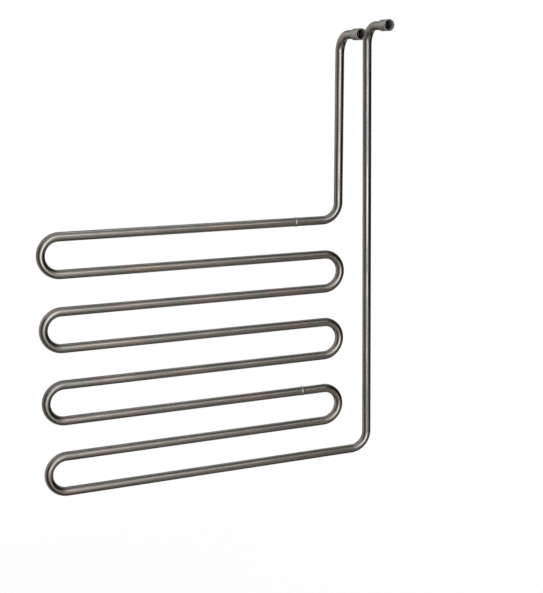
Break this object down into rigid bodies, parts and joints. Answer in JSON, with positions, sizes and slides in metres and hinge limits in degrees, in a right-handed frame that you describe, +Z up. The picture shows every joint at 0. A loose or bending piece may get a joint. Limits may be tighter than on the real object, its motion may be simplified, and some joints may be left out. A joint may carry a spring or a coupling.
{
  "type": "heat exchanger",
  "caption": "Flat serpentine coil of bent steel tube for heating or cooling a tank, with upright risers that end in forward-facing threaded pipe sockets.",
  "frame": {"origin": "middle of the footprint, at the height of the underside of the lowest run", "axes": "+Z up along the risers, +X along the runs towards the risers, -Y the way the sockets face"},
  "size_m": [1, 0.1386, 1.2735],
  "materials": {
    "tube_steel": "satin drawn stainless tube, faint lengthwise grain",
    "socket_steel": "dull turned stainless with fine rings",
    "weld_steel": "brushed weld bead with faint ripples"
  },
  "bodies": {
    "root": {"inlet_riser_tube": "tube_steel", "serpentine_tube": "tube_steel", "outlet_riser_tube": "tube_steel", "upper_butt_weld": "weld_steel", "lower_butt_weld": "weld_steel", "inlet_socket": "socket_steel", "outlet_socket": "socket_steel", "inlet_socket_weld": "weld_steel", "outlet_socket_weld": "weld_steel"}
  },
  "joints": []
}
